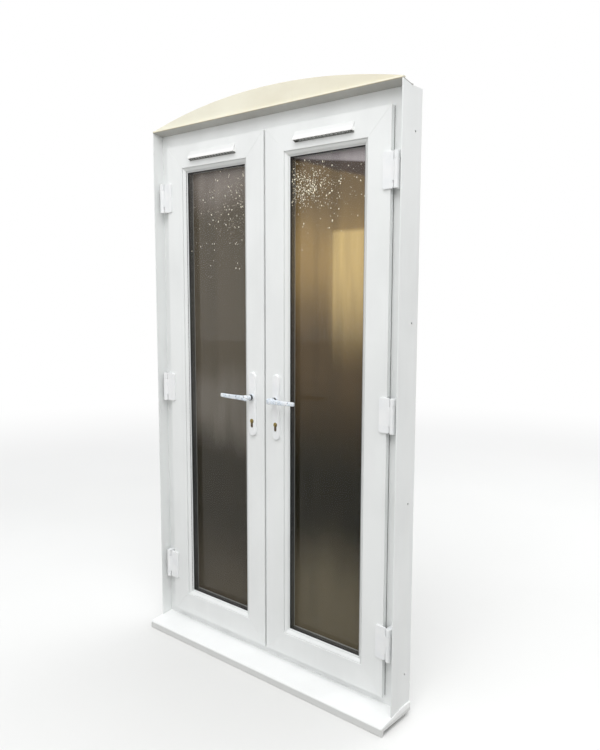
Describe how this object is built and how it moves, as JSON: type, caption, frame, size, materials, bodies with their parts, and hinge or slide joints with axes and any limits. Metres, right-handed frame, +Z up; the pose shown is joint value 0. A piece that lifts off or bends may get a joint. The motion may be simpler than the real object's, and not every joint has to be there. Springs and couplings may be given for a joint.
{
  "type": "french doors",
  "caption": "Pair of outward-opening white plastic french doors in a hollow-section frame, with cill, reveal trims, levers, flag hinges, vents and an arched infill panel.",
  "frame": {"origin": "on the bed of the cill, at the doors' centre line and below the outer face of the frame", "axes": "+X across the doors to the right as seen from outside, +Y indoors, +Z up"},
  "size_m": [1.2, 0.2116, 2.1785],
  "materials": {
    "white_pvc": "smooth white extruded plastic",
    "white_coating": "white powder coating",
    "vent_plastic": "moulded white plastic",
    "cream_panel": "cream infill board",
    "glazing": "clear double glazing",
    "spacer_grey": "dark grey spacer",
    "black_rubber": "black gasket rubber",
    "galvanised_steel": "zinc-plated steel",
    "cylinder_brass": "brass lock cylinder"
  },
  "bodies": {
    "frame": {"frame_head": "white_pvc", "frame_left_jamb": "white_pvc", "frame_right_jamb": "white_pvc", "frame_threshold": "white_pvc", "frame_steel": "galvanised_steel", "frame_seal": "black_rubber", "centre_mullion": "white_pvc", "lock_keeps": "galvanised_steel", "cill": "white_pvc", "cill_end_caps": "white_pvc", "reveal_trims": "white_pvc", "soffit_trim": "white_pvc", "arch_panel": "cream_panel", "hinge_frame_halves": "white_coating"},
    "left_leaf": {"left_hinge_stile": "white_pvc", "left_lock_stile": "white_pvc", "left_top_rail": "white_pvc", "left_bottom_rail": "white_pvc", "left_leaf_steel": "galvanised_steel", "left_glass_panes": "glazing", "left_spacer_bar": "spacer_grey", "left_glazing_gasket": "black_rubber", "left_glazing_beads": "white_pvc", "left_leaf_seal": "black_rubber", "left_hinge_leaf_halves": "white_coating", "left_outer_backplate": "white_coating", "left_inner_backplate": "white_coating", "left_lock_cylinder": "cylinder_brass", "left_lock_case": "galvanised_steel", "left_vent_canopy": "vent_plastic", "left_vent_controller": "vent_plastic"},
    "left_levers": {"left_outer_lever": "white_coating", "left_inner_lever": "white_coating"},
    "left_key": {"left_key_plug": "cylinder_brass"},
    "left_flap": {"left_vent_flap": "vent_plastic"},
    "right_leaf": {"right_hinge_stile": "white_pvc", "right_lock_stile": "white_pvc", "right_top_rail": "white_pvc", "right_bottom_rail": "white_pvc", "right_leaf_steel": "galvanised_steel", "right_glass_panes": "glazing", "right_spacer_bar": "spacer_grey", "right_glazing_gasket": "black_rubber", "right_glazing_beads": "white_pvc", "right_leaf_seal": "black_rubber", "right_hinge_leaf_halves": "white_coating", "right_outer_backplate": "white_coating", "right_inner_backplate": "white_coating", "right_lock_cylinder": "cylinder_brass", "right_lock_case": "galvanised_steel", "right_vent_canopy": "vent_plastic", "right_vent_controller": "vent_plastic"},
    "right_levers": {"right_outer_lever": "white_coating", "right_inner_lever": "white_coating"},
    "right_key": {"right_key_plug": "cylinder_brass"},
    "right_flap": {"right_vent_flap": "vent_plastic"},
    "left_latch": {"left_latch_bolt": "galvanised_steel"},
    "left_bolt": {"left_dead_bolt": "galvanised_steel"},
    "right_latch": {"right_latch_bolt": "galvanised_steel"},
    "right_bolt": {"right_dead_bolt": "galvanised_steel"}
  },
  "joints": [
    {"name": "left_leaf_swing", "type": "hinge", "parent": "frame", "child": "left_leaf", "pos_m": [-0.568, -0.028, 1.0425], "axis": [0, 0, -1], "range_deg": [0, 90]},
    {"name": "left_lever_turn", "type": "hinge", "parent": "left_leaf", "child": "left_levers", "pos_m": [-0.06025, 0.013, 1.045], "axis": [0, 1, 0], "range_deg": [0, 35]},
    {"name": "left_key_turn", "type": "hinge", "parent": "left_leaf", "child": "left_key", "pos_m": [-0.06025, 0.013, 0.953], "axis": [0, 1, 0], "range_deg": [0, 360]},
    {"name": "left_flap_tilt", "type": "hinge", "parent": "left_leaf", "child": "left_flap", "pos_m": [-0.27263, 0.0578, 1.9638], "axis": [-1, 0, 0], "range_deg": [0, 35]},
    {"name": "right_leaf_swing", "type": "hinge", "parent": "frame", "child": "right_leaf", "pos_m": [0.568, -0.028, 1.0425], "axis": [0, 0, 1], "range_deg": [0, 90]},
    {"name": "right_lever_turn", "type": "hinge", "parent": "right_leaf", "child": "right_levers", "pos_m": [0.06025, 0.013, 1.045], "axis": [0, 1, 0], "range_deg": [0, 35]},
    {"name": "right_key_turn", "type": "hinge", "parent": "right_leaf", "child": "right_key", "pos_m": [0.06025, 0.013, 0.953], "axis": [0, 1, 0], "range_deg": [0, 360]},
    {"name": "right_flap_tilt", "type": "hinge", "parent": "right_leaf", "child": "right_flap", "pos_m": [0.27263, 0.0578, 1.9638], "axis": [-1, 0, 0], "range_deg": [0, 35]},
    {"name": "left_latch_slide", "type": "slide", "parent": "left_leaf", "child": "left_latch", "axis": [-1, 0, 0], "range_m": [0, 0.0092]},
    {"name": "left_bolt_slide", "type": "slide", "parent": "left_leaf", "child": "left_bolt", "axis": [1, 0, 0], "range_m": [0, 0.0201]},
    {"name": "right_latch_slide", "type": "slide", "parent": "right_leaf", "child": "right_latch", "axis": [1, 0, 0], "range_m": [0, 0.0092]},
    {"name": "right_bolt_slide", "type": "slide", "parent": "right_leaf", "child": "right_bolt", "axis": [-1, 0, 0], "range_m": [0, 0.0201]}
  ],
  "couplings": [
    {"joint": "left_latch_slide", "follows": "left_lever_turn", "m_per_rad": 0.014733},
    {"joint": "left_bolt_slide", "follows": "left_key_turn", "m_per_rad": 0.003183},
    {"joint": "right_latch_slide", "follows": "right_lever_turn", "m_per_rad": 0.014733},
    {"joint": "right_bolt_slide", "follows": "right_key_turn", "m_per_rad": 0.003183}
  ]
}
